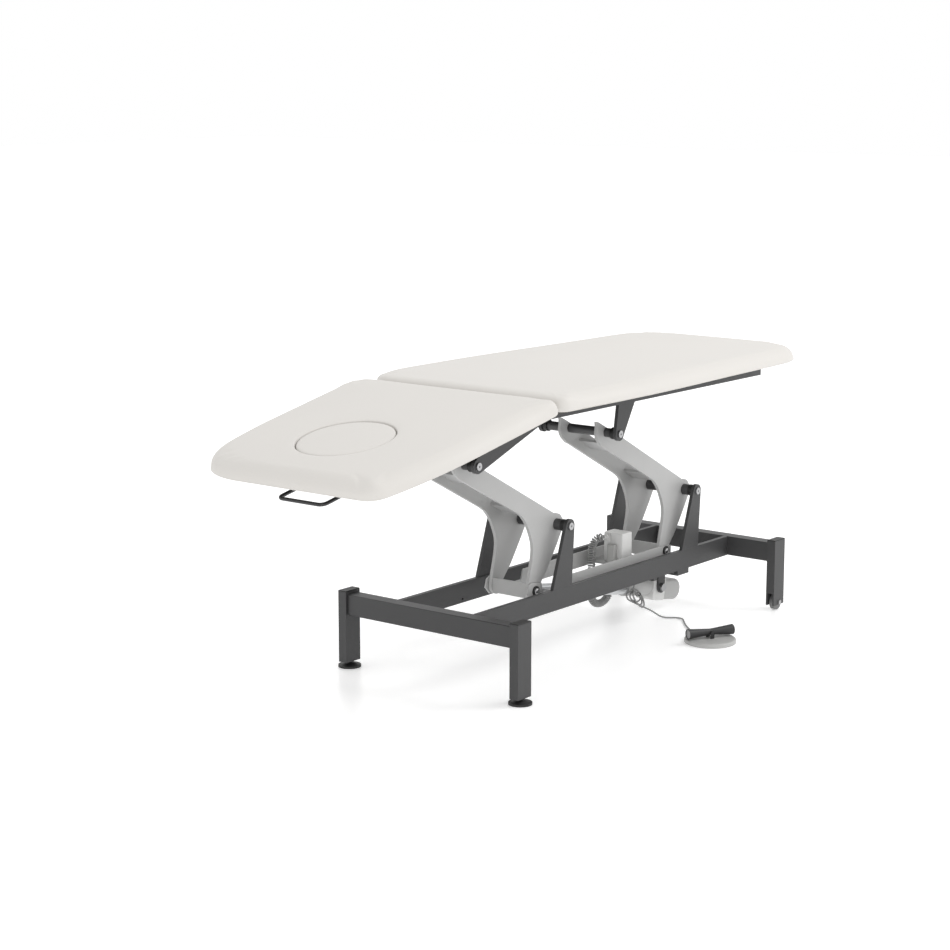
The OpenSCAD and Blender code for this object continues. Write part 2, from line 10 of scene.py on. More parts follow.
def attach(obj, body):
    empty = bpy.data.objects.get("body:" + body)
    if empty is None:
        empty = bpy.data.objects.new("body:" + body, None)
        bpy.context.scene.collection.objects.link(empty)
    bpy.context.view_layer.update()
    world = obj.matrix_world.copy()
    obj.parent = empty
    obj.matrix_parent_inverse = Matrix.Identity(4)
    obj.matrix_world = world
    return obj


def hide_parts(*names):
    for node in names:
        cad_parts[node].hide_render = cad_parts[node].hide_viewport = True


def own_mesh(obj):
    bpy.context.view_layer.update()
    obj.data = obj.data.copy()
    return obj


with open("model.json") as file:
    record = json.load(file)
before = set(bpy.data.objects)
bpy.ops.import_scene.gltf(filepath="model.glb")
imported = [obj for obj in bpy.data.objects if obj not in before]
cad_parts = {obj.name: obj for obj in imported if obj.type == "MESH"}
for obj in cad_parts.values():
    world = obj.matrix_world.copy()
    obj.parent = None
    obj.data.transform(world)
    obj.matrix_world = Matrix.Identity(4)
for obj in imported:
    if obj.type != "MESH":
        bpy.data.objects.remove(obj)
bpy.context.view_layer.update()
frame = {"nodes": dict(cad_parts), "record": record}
scene = bpy.context.scene
scene.view_settings.view_transform = "Standard"
scene.view_settings.look = "None"

# the row frame's zero in the design's own frame, in metres
OX, OY = 0.45791, -0.0352
MM = 0.001


def at(x, y, z):
    return Vector((x * MM - OX, y * MM - OY, z * MM))


# ---- camera --------------------------------------------------------------------------------------
cam_data = bpy.data.cameras.new("camera")
cam = bpy.data.objects.new("camera", cam_data)
scene.collection.objects.link(cam)
cam_data.sensor_width = 36
cam_data.lens = 83.75
cam_data.clip_end = 60
cam.location = at(-4419.3, -3653.4, 1658.6)
cam.rotation_euler = (math.radians(79.3375), 0, math.radians(-51.7469))
scene.camera = cam


# ---- materials -----------------------------------------------------------------------------------
def nodes_of(name):
    m = bpy.data.materials.new(name)
    m.use_nodes = True
    n = m.node_tree.nodes
    return m, n, m.node_tree.links, n["Principled BSDF"]


def make(name, base, rough, metallic=0.0, vary=0.04, vary_scale=6.0, grain=1500.0, bump=0.06, dist=0.0002,
         rough_vary=0.06, sheen=0.0, spec=0.5, kind="noise"):
    """A surface with a slow change of tone, a fine grain in the bump and an uneven gloss."""
    m, n, l, b = nodes_of(name)
    tc = n.new("ShaderNodeTexCoord")
    slow = n.new("ShaderNodeTexNoise")
    slow.inputs["Scale"].default_value = vary_scale
    slow.inputs["Detail"].default_value = 4
    l.new(tc.outputs["Object"], slow.inputs["Vector"])
    ramp = n.new("ShaderNodeValToRGB")
    lo = [max(0, c * (1 - vary)) for c in base]
    hi = [min(1, c * (1 + vary)) for c in base]
    ramp.color_ramp.elements[0].position = 0.3
    ramp.color_ramp.elements[1].position = 0.7
    ramp.color_ramp.elements[0].color = (*lo, 1)
    ramp.color_ramp.elements[1].color = (*hi, 1)
    l.new(slow.outputs["Fac"], ramp.inputs["Fac"])
    l.new(ramp.outputs["Color"], b.inputs["Base Color"])
    if kind == "leather":
        fine = n.new("ShaderNodeTexVoronoi")
        fine.feature = "DISTANCE_TO_EDGE"
        fine.inputs["Scale"].default_value = grain
        out = fine.outputs["Distance"]
        l.new(tc.outputs["Object"], fine.inputs["Vector"])
    elif kind == "brushed":
        mp = n.new("ShaderNodeMapping")
        mp.inputs["Scale"].default_value = (1, 1, 40)
        fine = n.new("ShaderNodeTexNoise")
        fine.inputs["Scale"].default_value = grain
        l.new(tc.outputs["Object"], mp.inputs["Vector"])
        l.new(mp.outputs["Vector"], fine.inputs["Vector"])
        out = fine.outputs["Fac"]
    else:
        fine = n.new("ShaderNodeTexNoise")
        fine.inputs["Scale"].default_value = grain
        fine.inputs["Detail"].default_value = 3
        l.new(tc.outputs["Object"], fine.inputs["Vector"])
        out = fine.outputs["Fac"]
    bp = n.new("ShaderNodeBump")
    bp.inputs["Strength"].default_value = bump
    bp.inputs["Distance"].default_value = dist
    l.new(out, bp.inputs["Height"])
    l.new(bp.outputs["Normal"], b.inputs["Normal"])
    rr = n.new("ShaderNodeMapRange")
    rr.inputs["To Min"].default_value = max(0.02, rough - rough_vary)
    rr.inputs["To Max"].default_value = min(1, rough + rough_vary)
    l.new(slow.outputs["Fac"], rr.inputs["Value"])
    l.new(rr.outputs["Result"], b.inputs["Roughness"])
    b.inputs["Metallic"].default_value = metallic
    b.inputs["Specular IOR Level"].default_value = spec
    if sheen:
        b.inputs["Sheen Weight"].default_value = sheen
        b.inputs["Sheen Roughness"].default_value = 0.5
    return m


MAT = {
    "anthracite": make("anthracite", (0.046, 0.046, 0.047), 0.45, spec=0.4, vary=0.06, grain=2200, bump=0.25,
                       dist=0.0003),
    "grey_paint": make("grey_paint", (0.42, 0.42, 0.416), 0.40, vary=0.03, grain=2000, bump=0.12),
    "bright_steel": make("bright_steel", (0.40, 0.40, 0.405), 0.34, metallic=1, vary=0.08, vary_scale=60,
                         grain=900, bump=0.1, kind="brushed"),
    "black_plastic": make("black_plastic", (0.012, 0.012, 0.012), 0.5, vary=0.2, bump=0.1),
    "black_paint": make("black_paint", (0.018, 0.018, 0.019), 0.33, vary=0.15, bump=0.15),
    "vinyl": make("vinyl", (0.605, 0.585, 0.556), 0.52, vary=0.012, vary_scale=3, grain=520, bump=0.16,
                  dist=0.00035, sheen=0.06, kind="leather", spec=0.4),
    "plywood": make("plywood", (0.075, 0.068, 0.06), 0.7, vary=0.2, vary_scale=9, grain=300, bump=0.2),
    "switch_grey": make("switch_grey", (0.40, 0.40, 0.39), 0.45, vary=0.04, grain=1500, bump=0.15),
    "tube_dark": make("tube_dark", (0.055, 0.055, 0.056), 0.38, vary=0.08, vary_scale=20, bump=0.12),
    "grey_plastic": make("grey_plastic", (0.64, 0.64, 0.63), 0.45, vary=0.03, grain=1800, bump=0.12),
    "motor_shell": make("motor_shell", (0.42, 0.42, 0.415), 0.42, vary=0.04, grain=900, bump=0.2),
    "motor_cast": make("motor_cast", (0.27, 0.27, 0.27), 0.5, vary=0.08, vary_scale=25, grain=700, bump=0.3),
    "cable_grey": make("cable_grey", (0.22, 0.22, 0.22), 0.45, vary=0.06, vary_scale=30, bump=0.08),
    "curl_grey": make("curl_grey", (0.27, 0.27, 0.268), 0.42, vary=0.06, vary_scale=30, bump=0.08),
    "wheel_grey": make("wheel_grey", (0.16, 0.16, 0.16), 0.45, vary=0.1, vary_scale=40, bump=0.1),
    "foot_rubber": make("foot_rubber", (0.012, 0.012, 0.012), 0.55, vary=0.2, vary_scale=30, bump=0.15),
    "aluminium": make("aluminium", (0.62, 0.63, 0.64), 0.32, metallic=1, vary=0.04, vary_scale=20, grain=600,
                      bump=0.12, kind="brushed"),
    "pedal_plastic": make("pedal_plastic", (0.022, 0.022, 0.023), 0.48, vary=0.12, vary_scale=30, grain=900,
                          bump=0.35, dist=0.0004),
}
# each listed piece gets the material named after its slot in the record
for sub in frame["record"]["subparts"]:
    o = frame["nodes"][sub["node"]]
    o.data.materials.clear()
    o.data.materials.append(MAT[sub["material_slot"]])
    for p in o.data.polygons:
        p.material_index = 0
# the rocker's caps are darker than the other grey plastic
frame["nodes"]["pedal_caps"].data.materials[0] = MAT["motor_cast"]


# ---- mesh helpers --------------------------------------------------------------------------------
def mesh(name, verts, faces, mat, body, replaces=(), smooth=True):
    d = bpy.data.meshes.new(name)
    d.from_pydata([tuple(v) for v in verts], [], faces)
    d.validate()
    d.update()
    o = bpy.data.objects.new(name, d)
    scene.collection.objects.link(o)
    bm = bmesh.new()
    bm.from_mesh(d)
    bmesh.ops.remove_doubles(bm, verts=bm.verts, dist=1e-6)
    bmesh.ops.recalc_face_normals(bm, faces=bm.faces)
    bm.to_mesh(d)
    bm.free()
    d.materials.append(MAT[mat])
    if smooth:
        for p in d.polygons:
            p.use_smooth = True
    if body:
        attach(o, body)
    if replaces:
        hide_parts(*replaces)
    return o


def sharp(o, degrees=35):
    """Keeps edges steeper than this crisp on a smooth-shaded piece."""
    d = o.data
    bm = bmesh.new()
    bm.from_mesh(d)
    for e in bm.edges:
        e.smooth = not (len(e.link_faces) == 2 and e.calc_face_angle(0) > math.radians(degrees))
    bm.to_mesh(d)
    bm.free()
    return o


def frame_from(axis):
    a = Vector(axis).normalized()
    h = Vector((0, 0, 1)) if abs(a.z) < 0.9 else Vector((1, 0, 0))
    u = a.cross(h).normalized()
    return a, u, a.cross(u)


def lathe(prof, origin, axis, n=48):
    """Verts and faces of a closed body of revolution; prof is (radius, height) in millimetres."""
    a, u, w = frame_from(axis)
    verts, faces, rows = [], [], []
    for r, h in prof:
        if r < 1e-6:
            rows.append([len(verts)])
            verts.append(origin + a * h * MM)
        else:
            rows.append(list(range(len(verts), len(verts) + n)))
            for k in range(n):
                t = 2 * math.pi * k / n
                verts.append(origin + a * h * MM + (u * math.cos(t) + w * math.sin(t)) * r * MM)
    for p, q in zip(rows, rows[1:]):
        for k in range(n):
            j = (k + 1) % n
            if len(p) == 1 and len(q) == 1:
                continue
            if len(p) == 1:
                faces.append((p[0], q[k], q[j]))
            elif len(q) == 1:
                faces.append((p[k], q[0], p[j]))
            else:
                faces.append((p[k], q[k], q[j], p[j]))
    return verts, faces


def join(parts):
    verts, faces = [], []
    for v, f in parts:
        k = len(verts)
        verts += list(v)
        faces += [tuple(i + k for i in g) for g in f]
    return verts, faces


def tube(path, r, n=12):
    """A capped tube of that radius (metres) along points, with frames carried along it."""
    pts = [Vector(p) for p in path]
    verts, faces = [], []
    t0 = (pts[1] - pts[0]).normalized()
    _, u, _ = frame_from(t0)
    for i, p in enumerate(pts):
        t = (pts[min(i + 1, len(pts) - 1)] - pts[max(i - 1, 0)]).normalized()
        u = (u - t * u.dot(t)).normalized()
        w = t.cross(u)
        for k in range(n):
            a = 2 * math.pi * k / n
            verts.append(p + (u * math.cos(a) + w * math.sin(a)) * r)
    m = len(pts)
    for i in range(m - 1):
        for k in range(n):
            j = (k + 1) % n
            faces.append((i * n + k, i * n + j, (i + 1) * n + j, (i + 1) * n + k))
    faces.append(tuple(range(n))[::-1])
    faces.append(tuple((m - 1) * n + k for k in range(n)))
    return verts, faces


def spline(p, steps):
    """Points of a smooth curve through p."""
    p = [Vector(q) for q in p]
    out = []
    for i in range(len(p) - 1):
        a, b, c, d = p[max(i - 1, 0)], p[i], p[i + 1], p[min(i + 2, len(p) - 1)]
        for k in range(steps):
            t = k / steps
            out.append(0.5 * (2 * b + (c - a) * t + (2 * a - 5 * b + 4 * c - d) * t * t
                              + (3 * b - a - 3 * c + d) * t ** 3))
    out.append(p[-1])
    return out


def resample(path, step):
    """Points about that far apart (metres) along a path, and the path's length."""
    pts = np.array([tuple(p) for p in path])
    seg = np.linalg.norm(np.diff(pts, axis=0), axis=1)
    s = np.concatenate([[0], np.cumsum(seg)])
    n = max(2, int(round(s[-1] / step)) + 1)
    q = np.linspace(0, s[-1], n)
    return [Vector([np.interp(v, s, pts[:, c]) for c in range(3)]) for v in q], float(s[-1])


def rounded_box(lo, hi, r, seg=4):
    """Box with rounded edges as one mesh, corners and radius in millimetres."""
    bm = bmesh.new()
    bmesh.ops.create_cube(bm, size=1)
    size = [h - l for l, h in zip(lo, hi)]
    mid = [(h + l) / 2 for l, h in zip(lo, hi)]
    for v in bm.verts:
        v.co = Vector([v.co[i] * size[i] + mid[i] for i in range(3)])
    bmesh.ops.bevel(bm, geom=list(bm.edges), offset=r, segments=seg, profile=0.5, affect="EDGES")
    verts = [v.co.copy() for v in bm.verts]
    bm.verts.index_update()
    faces = [tuple(v.index for v in f.verts) for f in bm.faces]
    bm.free()
    return verts, faces


def placed(part, fn):
    return [fn(v) for v in part[0]], part[1]


def world_mm(v):
    return at(v[0], v[1], v[2])


# the head section's hinge in the design's x and z, and how far the section slopes down in the photograph
HINGE_MM = (134.0, 752.0)
DROP = math.radians(11.16)
ROT = Matrix.Rotation(-DROP, 3, "Y")
PIVOT = at(HINGE_MM[0], 0, HINGE_MM[1])


def head_world(v):
    """The place of a point given as (distance from the hinge, y, height) with the head section laid level."""
    flat = at(HINGE_MM[0] - v[0], v[1], v[2])
    return PIVOT + ROT @ (flat - PIVOT)


# ---- foot switch cord ----------------------------------------------------------------------------
HANK_X, HANK_Y, HANK_Z = 917, -59, 78
HANK_DEPTH = 4  # the first turn lies about this far on the near side of HANK_Y, the last on its far side


def hank_turns(half_length, half_height, tilt, turns, steps=26):
    """The turns of a hank: long loops whose size, place and lean change a little from one to the next."""
    out = []
    for i in range(int(turns * steps) + 1):
        t = i / steps
        size = 1 + 0.16 * math.sin(2.1 * t) + 0.016 * t
        sway = 9 * math.sin(1.3 * t + 0.4)
        ang = 2 * math.pi * t + 0.5 * math.pi
        x, z = half_length * size * math.cos(ang), half_height * size * math.sin(ang)
        lean = math.radians(tilt + 16 * math.sin(1.6 * t))
        ct, st = math.cos(lean), math.sin(lean)
        y = HANK_Y - HANK_DEPTH * math.cos(math.pi * t / turns) + 2.2 * math.sin(2 * math.pi * t)
        out.append(at(HANK_X + sway + x * ct + z * st, y, HANK_Z - 0.4 * sway - x * st + z * ct))
    return out


def tie_ring(radius_y, radius_z, steps=25):
    """The tie's path, a small leaning ring above the middle of the hank."""
    lean = Matrix.Rotation(math.radians(40), 3, "Y")
    return [at(HANK_X, HANK_Y, HANK_Z) + lean @ Vector((0.004 * math.sin(0.4), radius_y * math.cos(t),
                                                       0.0125 + radius_z * math.sin(t)))
            for t in np.linspace(0, 2 * math.pi, steps)]


lead_in = [at(900, -62, 125), at(900, -62, 118), at(899, -61, 108)]
run = [at(975, -72, 30), at(1005, -95, 7), at(1035, -124, 3), at(1036, -146, 3), at(1014, -166, 3),
       at(985, -190, 3), at(950, -225, 3), at(912, -268, 5), at(896, -283, 7)]
path = spline(lead_in + hank_turns(32, 13, 36, 3.5)[3::3] + run, 8)
path, cord_len = resample(path, 0.004)
cord = mesh("switch_cord_line", *tube(path, 0.0025, 10), "cable_grey", "base",
            ("switch_cord", "cord_hank"))
tie = mesh("hank_tie", *tube(tie_ring(0.0085, 0.0055), 0.0012, 8), "black_plastic", "base", ("cord_tie",))

# ---- curly cord: a real helix round its own route ------------------------------------------------
curl_pts = [(824, -5, 270), (815, -2, 273), (806, 6, 270), (801, 16, 256), (800, 22, 236), (802, 24, 200),
            (801, 24, 160), (798, 24, 120), (800, 24, 92), (818, 24, 70), (845, 24, 62), (870, 24, 66),
            (890, 24, 80), (899, 24, 104), (900, 24, 140), (899, 24, 176)]


def helix_round(core, length, pitch, radius, ease_in=0.012, steps=3):
    """A helix round a path of close points (metres), drawn in to the path over its two ends."""
    out = []
    _, u, _ = frame_from((core[1] - core[0]).normalized())
    for i, p in enumerate(core[:-1]):
        t = (core[i + 1] - core[max(i - 1, 0)]).normalized()
        u = (u - t * u.dot(t)).normalized()
        w = t.cross(u)
        q = core[i + 1] - p
        for k in range(steps):
            s = i * length / (len(core) - 1) + k * q.length / steps
            turn = 2 * math.pi * s / pitch
            ease = max(0.05, min(1, s / ease_in, (length - s) / ease_in))
            out.append(p + q * (k / steps) + (u * math.cos(turn) + w * math.sin(turn)) * radius * ease)
    return out


core, core_len = resample(spline([at(*p) for p in curl_pts], 10), 0.001)
mesh("curly_line", *tube(helix_round(core, core_len, 0.0072, 0.0094), 0.0025, 8), "curl_grey", "link_tray",
     ("curly_cord",))
plug_prof = [(0, 15), (3.4, 15), (4, 14.6), (4, 8), (7, 7.4), (8.4, 6.6), (9, 5.5), (9, 0), (0, 0)]
mesh("curly_plug", *lathe(plug_prof, at(838, -5, 270), (-1, 0, 0)), "grey_plastic", "link_tray",
     ("curly_cord_plug",))
gland_prof = [(0, 0), (5, 0), (6, 2), (7, 6), (13, 6.4), (14, 7.2), (14, 14), (0, 14)]
mesh("curly_gland", *lathe(gland_prof, at(899, 24, 176), (0, 0, 1)), "black_plastic", "link_tray",
     ("curly_cord_gland",))
relief_prof = [(0, 0), (2.8, 0), (3.2, 1), (3.4, 4), (3.7, 4.4), (3.7, 7), (4.1, 7.4), (4.1, 10), (4.5, 10.4),
               (4.5, 14), (5, 15), (5, 20), (0, 20)]
mesh("relief", *lathe(relief_prof, at(900, -62, 125), (0, 0, 1), 32), "black_plastic", "base",
     ("strain_relief",))


# ---- softened copies of hard pieces --------------------------------------------------------------
BODY_OF = {n: b for b, group in frame["record"]["behaviour"]["bodies"].items() for n in group}


def soften(node, width, mat=None, seg=2, angle=35):
    """A copy of a piece with its sharp edges broken by that many millimetres."""
    src = frame["nodes"][node]
    d = src.data.copy()
    bm = bmesh.new()
    bm.from_mesh(d)
    bmesh.ops.remove_doubles(bm, verts=bm.verts, dist=2e-6)
    bmesh.ops.dissolve_limit(bm, angle_limit=math.radians(0.6), verts=bm.verts, edges=bm.edges)
    for f in bm.faces:
        f.smooth = True
    for e in bm.edges:
        e.smooth = not (len(e.link_faces) == 2 and e.calc_face_angle(0) > math.radians(angle))
    bm.to_mesh(d)
    bm.free()
    o = bpy.data.objects.new(node + "_soft", d)
    o.matrix_world = src.matrix_world.copy()
    scene.collection.objects.link(o)
    slot = next(q["material_slot"] for q in frame["record"]["subparts"] if q["node"] == node)
    d.materials.clear()
    d.materials.append(MAT[mat or slot])
    m = o.modifiers.new("edge", "BEVEL")
    m.width = width * MM
    m.segments = seg
    m.limit_method = "ANGLE"
    m.angle_limit = math.radians(angle)
    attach(o, BODY_OF[node])
    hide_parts(node)
    return o


EDGE_MM = {"cross_beams": 2.2, "side_rails": 2.0, "legs": 1.8, "leg_caps": 0.8, "top_rails": 1.8,
           "head_arm_frame": 1.2, "foot_arm_frame": 1.2, "tray_frame": 0.8, "base_brackets": 1.2,
           "upper_brackets": 1.2, "actuator_gearbox": 3.0}
for piece, edge in EDGE_MM.items():
    soften(piece, edge)
soften("switch_base", 1.5, "switch_grey")
soften("actuator_motor", 9.0, "motor_shell", 4)
soften("actuator_cover", 3.0, "motor_shell", 3)

# control box: body and lid as two soft shells with a seam between them, and the connector box beside them
BOX_LO, BOX_HI, BOX_EDGE = (838, -60, 196), (890, 6, 285), 3.5
SEAM_NEAR, SEAM_FAR = -17.9, -17.4
mesh("control_shell", *placed(rounded_box((BOX_LO[0], SEAM_FAR, BOX_LO[2]), BOX_HI, BOX_EDGE), world_mm),
     "grey_plastic", "link_tray", ("control_cover",))
mesh("control_body", *placed(rounded_box(BOX_LO, (BOX_HI[0], SEAM_NEAR, BOX_HI[2]), BOX_EDGE), world_mm),
     "grey_plastic", "link_tray", ("control_box",))
mesh("connector_shell", *placed(rounded_box((822, -42, 196), (838, -16, 252), 2.5), world_mm), "switch_grey",
     "link_tray", ("connector_box",))

# release handle: one bent round bar with its two sleeves
HANDLE_Z = HINGE_MM[1] - 45.5
BEND = 17
BEND_X, BEND_Y = 638 - BEND, 75.5 - BEND  # the middle of a bend
bar = [(400, 75.5), (BEND_X, 75.5)]
bar += [(BEND_X + BEND * math.sin(t), BEND_Y + BEND * math.cos(t)) for t in np.linspace(0, math.pi / 2, 9)]
bar += [(x, -y) for x, y in bar[::-1]]
loop = [head_world((x, y, HANDLE_Z)) for x, y in bar]
parts = [tube(loop, 0.005, 16)]
for side in (-1, 1):
    c = head_world((394, side * 69.5, HANDLE_Z))
    e = head_world((394, side * 81.5, HANDLE_Z))
    parts.append(lathe([(4.1, 0), (8, 0), (9, 1), (9, 11), (8, 12), (4.1, 12), (4.1, 0)], c, e - c, 32))
handle = sharp(mesh("handle_bar", *join(parts), "black_paint", "release_handle", ("release_handle",)))

# the head arm's pivots in x and z, and how far along x the foot arm stands from it
UPPER_PIVOT, BASE_PIVOT, TRAY_PIVOT = (54.98, 609.33), (469.1, 381.2), (364.4, 209.8)
ARM_STEP = 651.6

# painted shade: thin dark sleeves on the bearing tubes, between and outside the arm plates, darken the tubes
# where shadow falls on them
SLEEVE_SPANS = ((-111.8, -89.3), (-78.7, 37.7), (48.3, 111.8))
SLEEVE_WALL = 0.6
for dx, arm in ((0, "head_arm"), (ARM_STEP, "foot_arm")):
    for (px, pz), r in ((UPPER_PIVOT, 13.3), (BASE_PIVOT, 16.3)):
        for y0, y1 in SLEEVE_SPANS:
            inner, length = r - SLEEVE_WALL, y1 - y0
            ring = lathe([(inner, 0), (r, 0), (r, length), (inner, length), (inner, 0)],
                         at(px + dx, y0, pz), (0, 1, 0), 40)
            sharp(mesh("sleeve_%s_%d_%d" % (arm, pz, y0), *ring, "tube_dark", arm))

# domed heads over the tray pivots, on black washers
dome_prof = [(0, 6.5), (3, 6.2), (6, 5.2), (8.2, 3.4), (9, 1), (9, 0), (0, 0)]
washer_prof = [(0, 4.4), (13.2, 4.4), (14, 3.6), (14, 0), (0, 0)]
DOME_LIFT = 3.6
for x in (TRAY_PIVOT[0], TRAY_PIVOT[0] + ARM_STEP):
    for y, a in ((-95, -1), (54, 1)):
        dome = lathe(dome_prof, at(x, y + a * DOME_LIFT, TRAY_PIVOT[1]), (0, a, 0), 32)
        washer = lathe(washer_prof, at(x, y, TRAY_PIVOT[1]), (0, a, 0), 32)
        sharp(mesh("tray_dome_%d_%d" % (x, a), *dome, "bright_steel", "link_tray"))
        sharp(mesh("tray_washer_%d_%d" % (x, a), *washer, "black_plastic", "link_tray"))


# ---- pads ----------------------------------------------------------------------------------------
PAD_TOP, PAD_BOTTOM = 807.0, 761.0
GAP = 1.5  # from the hinge to each pad's edge
EDGE_R, CREASE_R = 38, 20  # how round the upper edge is along the sides and at the crease
CROWN = 4


def half_width(x, knots):
    """Smooth half-width of a pad at x, through the knots."""
    kx = np.array([k[0] for k in knots], float)
    kw = np.array([k[1] for k in knots], float)
    m = np.gradient(kw, kx)
    i = int(np.clip(np.searchsorted(kx, x) - 1, 0, len(kx) - 2))
    h = kx[i + 1] - kx[i]
    t = (x - kx[i]) / h
    return ((2 * t ** 3 - 3 * t * t + 1) * kw[i] + (t ** 3 - 2 * t * t + t) * h * m[i]
            + (3 * t * t - 2 * t ** 3) * kw[i + 1] + (t ** 3 - t * t) * h * m[i + 1])


def side_line(knots, gap, length, hinge_r, end_r, side):
    """One long side of a pad, from the hinge edge round its corner to the end edge."""
    def w(x):
        return half_width(x, knots)

    def corner(a, c, b):
        u = np.linspace(0, 1, 15)[:, None]
        return (1 - u) ** 2 * a + 2 * u * (1 - u) * c + u * u * b

    a, b = gap + hinge_r, length - end_r
    sa, sb = (w(a + 1) - w(a - 1)) / 2, (w(b + 1) - w(b - 1)) / 2
    first = np.array([gap, w(a) - sa * hinge_r])
    last = np.array([length, w(b) + sb * end_r])
    pts = [corner(first - [0, hinge_r], first, np.array([a, w(a)])),
           np.array([[x, w(x)] for x in np.linspace(a, b, 60)[1:-1]]),
           corner(np.array([b, w(b)]), last, last - [0, end_r])]
    return np.vstack(pts) * [1, side]


def pad_outline(knots, gap, length, far, near, step=9.0):
    """Closed outline; far and near hold the hinge and end corner easings of the two sides."""
    p = np.vstack([side_line(knots, gap, length, *far, 1), side_line(knots, gap, length, *near, -1)[::-1]])
    p = np.vstack([p, p[:1]])
    s = np.concatenate([[0], np.cumsum(np.linalg.norm(np.diff(p, axis=0), axis=1))])
    n = int(s[-1] / step / 2) * 2
    q = np.linspace(0, s[-1], n + 1)[:-1]
    return np.column_stack([np.interp(q, s, p[:, 0]), np.interp(q, s, p[:, 1])])


def depth_in(q, outline):
    """Distance of plan points to the outline."""
    a = outline
    b = np.roll(outline, -1, 0)
    d = b - a
    best = np.full(len(q), 1e9)
    for k in range(len(a)):
        t = np.clip(((q - a[k]) @ d[k]) / (d[k] @ d[k]), 0, 1)
        r = np.linalg.norm(q - a[k] - t[:, None] * d[k], axis=1)
        best = np.minimum(best, r)
    return best


def top_height(d, x, reach):
    """Height of the cover d inside the outline: a rolled edge, then a crown that rises over reach."""
    t = np.clip((x - 15) / 90, 0, 1)
    r = CREASE_R + (EDGE_R - CREASE_R) * t * t * (3 - 2 * t)
    z = -r + np.sqrt(np.maximum(0, r * r - (r - np.minimum(d, r)) ** 2))
    return PAD_TOP - CROWN + z + CROWN * (1 - (1 - np.minimum(d / reach, 1)) ** 2)


def normals_of(outline):
    """Outward normals of a closed outline."""
    d = np.roll(outline, -1, 0) - np.roll(outline, 1, 0)
    n = np.stack([d[:, 1], -d[:, 0]], 1)
    n /= np.linalg.norm(n, axis=1)[:, None]
    if ((outline - outline.mean(0)) * n).sum() < 0:
        n = -n
    return n


def pucker(outline, corners, amp, waves):
    """How far the cover pulls in and out along the edge near each corner."""
    out = np.zeros(len(outline))
    for cx, cy, width in corners:
        d = outline - np.array([cx, cy])
        r = np.linalg.norm(d, axis=1)
        a = np.arctan2(d[:, 1], d[:, 0])
        out += amp * np.exp(-(r / width) ** 2) * np.sin(a * waves + cx)
    return out


def pad_surface(outline, centre_fn, reach, corners, fractions, hole=None):
    """Pad as rings: the top from its middle outwards, side wall, rounded lower edge and underside."""
    n = len(outline)
    nrm = normals_of(outline)
    pk = pucker(outline, corners, 1.0, 9)
    target = centre_fn(outline)
    rows = []
    for f in fractions[::-1]:
        q = outline + (target - outline) * f
        d = depth_in(q, outline)
        near = np.exp(-((d - 18) / 22) ** 2)
        z = top_height(d, q[:, 0], reach) + pk * near * 1.2
        rows.append(np.column_stack([q, z]))
    if hole is not None:
        # the wall of the opening, from the underside up to a small rolled lip
        lip = rows[0]
        out = lip[:, :2] - np.array([hole, 0])
        out = out / np.linalg.norm(out, axis=1)[:, None]
        wall = [np.column_stack([lip[:, :2] + out * dr, lip[:, 2] + dz])
                for dr, dz in ((-0.5, -14), (-0.3, -8), (0, -4), (1.2, -1.4))]
        low = wall[0].copy()
        low[:, 2] = PAD_BOTTOM
        rows = [low] + wall + rows
    top = rows[-1][:, 2]
    for t in (0.25, 0.5, 0.72, 0.88):
        bulge = 1.2 * math.sin(math.pi * t) - 0.6
        z = top + (PAD_BOTTOM + 5 - top) * t
        rows.append(np.column_stack([outline + nrm * (bulge + 0.5 * pk * math.sin(math.pi * t))[:, None], z]))
    for dr, dz in ((-0.8, 4.0), (-2.4, 1.6), (-5.0, 0.4), (-9.0, 0.0)):
        rows.append(np.column_stack([outline + nrm * dr, np.full(n, PAD_BOTTOM + dz)]))
    base = outline - nrm * 9
    for f in (0.3, 0.6, 1.0):
        rows.append(np.column_stack([base + (target - base) * f, np.full(n, PAD_BOTTOM)]))
    verts = np.vstack(rows)
    faces = []
    for i in range(len(rows) - 1):
        for k in range(n):
            j = (k + 1) % n
            faces.append((i * n + k, i * n + j, (i + 1) * n + j, (i + 1) * n + k))
    return verts, faces


def inflate(o, frames, pressure, cap, pinned):
    """Cloth with inner pressure, applied; no point moves more than cap metres, and pinned ones stay."""
    before = np.empty(len(o.data.vertices) * 3)
    o.data.vertices.foreach_get("co", before)
    g = o.vertex_groups.new(name="pin")
    g.add([int(i) for i in pinned], 1.0, "REPLACE")
    m = o.modifiers.new("cloth", "CLOTH")
    s = m.settings
    s.quality = 5
    s.mass = 0.4
    s.tension_stiffness = s.compression_stiffness = 60
    s.shear_stiffness = 40
    s.bending_stiffness = 8
    s.use_pressure = True
    s.uniform_pressure_force = pressure
    s.effector_weights.gravity = 0
    s.vertex_group_mass = "pin"
    m.collision_settings.use_collision = False
    m.point_cache.frame_start = 1
    m.point_cache.frame_end = frames + 1
    for f in range(1, frames + 1):
        scene.frame_set(f)
    dg = bpy.context.evaluated_depsgraph_get()
    e = o.evaluated_get(dg)
    after = np.empty_like(before)
    e.data.vertices.foreach_get("co", after)
    o.modifiers.remove(m)
    o.vertex_groups.remove(g)
    scene.frame_set(1)
    a, b = before.reshape(-1, 3), after.reshape(-1, 3)
    move = b - a
    size = np.linalg.norm(move, axis=1)
    k = np.where(size > 1e-9, cap * np.tanh(size / cap) / np.maximum(size, 1e-9), 0)
    out = a + move * k[:, None]
    o.data.vertices.foreach_set("co", out.ravel())
    o.data.update()


